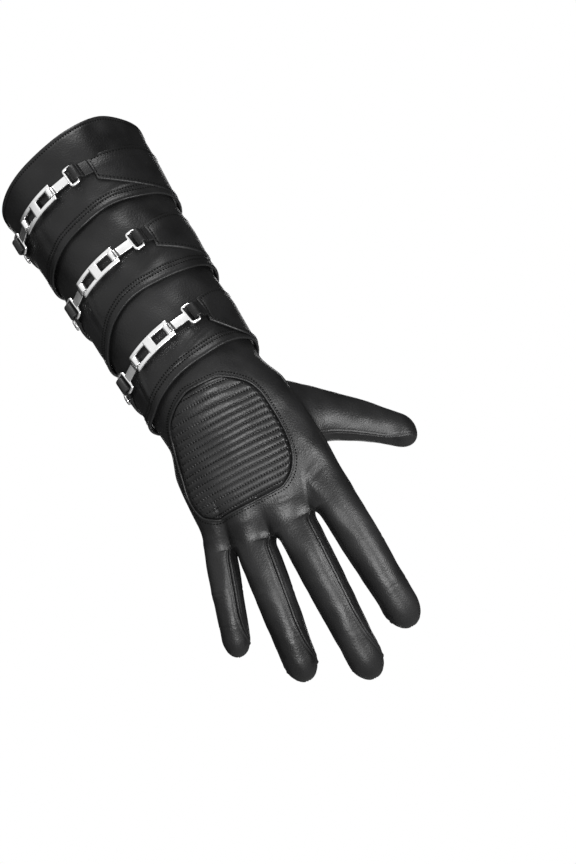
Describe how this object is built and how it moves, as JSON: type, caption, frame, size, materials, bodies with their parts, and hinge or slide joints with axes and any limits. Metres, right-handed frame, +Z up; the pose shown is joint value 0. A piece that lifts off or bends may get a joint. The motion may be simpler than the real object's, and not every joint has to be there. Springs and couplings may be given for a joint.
{
  "type": "gauntlet glove",
  "caption": "Long black leather gauntlet glove for the right hand, with an overlapping banded cuff, metal chain straps and a quilted patch on the back of the hand.",
  "frame": {"origin": "centre of the cuff's mouth, where the hand goes in", "axes": "+Z up out of the cuff's mouth, the fingers point down, the back of the hand faces -Y, the thumb is on the +X side"},
  "size_m": [0.1547, 0.1143, 0.3379],
  "materials": {
    "shell_leather": "satin",
    "strap_leather": "satin",
    "metal": "polished"
  },
  "bodies": {
    "root": {"cuff_band_top": "shell_leather", "cuff_band_middle": "shell_leather", "cuff_band_lower": "shell_leather", "back_panel": "shell_leather", "palm_panel": "shell_leather", "fourchette_ring_little": "shell_leather", "fourchette_middle_ring": "shell_leather", "fourchette_index_middle": "shell_leather", "thumb": "shell_leather", "quilted_patch": "shell_leather", "patch_piping": "shell_leather", "radial_flap_1": "strap_leather", "radial_flap_2": "strap_leather", "radial_flap_3": "strap_leather", "radial_strap_1": "strap_leather", "radial_strap_2": "strap_leather", "radial_strap_3": "strap_leather", "ulnar_flap_1": "strap_leather", "ulnar_flap_2": "strap_leather", "ulnar_flap_3": "strap_leather", "ulnar_strap_1": "strap_leather", "ulnar_strap_2": "strap_leather", "ulnar_strap_3": "strap_leather", "bracket_radial_1": "metal", "bracket_radial_2": "metal", "bracket_radial_3": "metal", "frame_link_1": "metal", "frame_link_2": "metal", "frame_link_3": "metal", "bracket_ulnar_1": "metal", "bracket_ulnar_2": "metal", "bracket_ulnar_3": "metal", "rivet_1": "metal", "rivet_2": "metal", "rivet_3": "metal"}
  },
  "joints": []
}
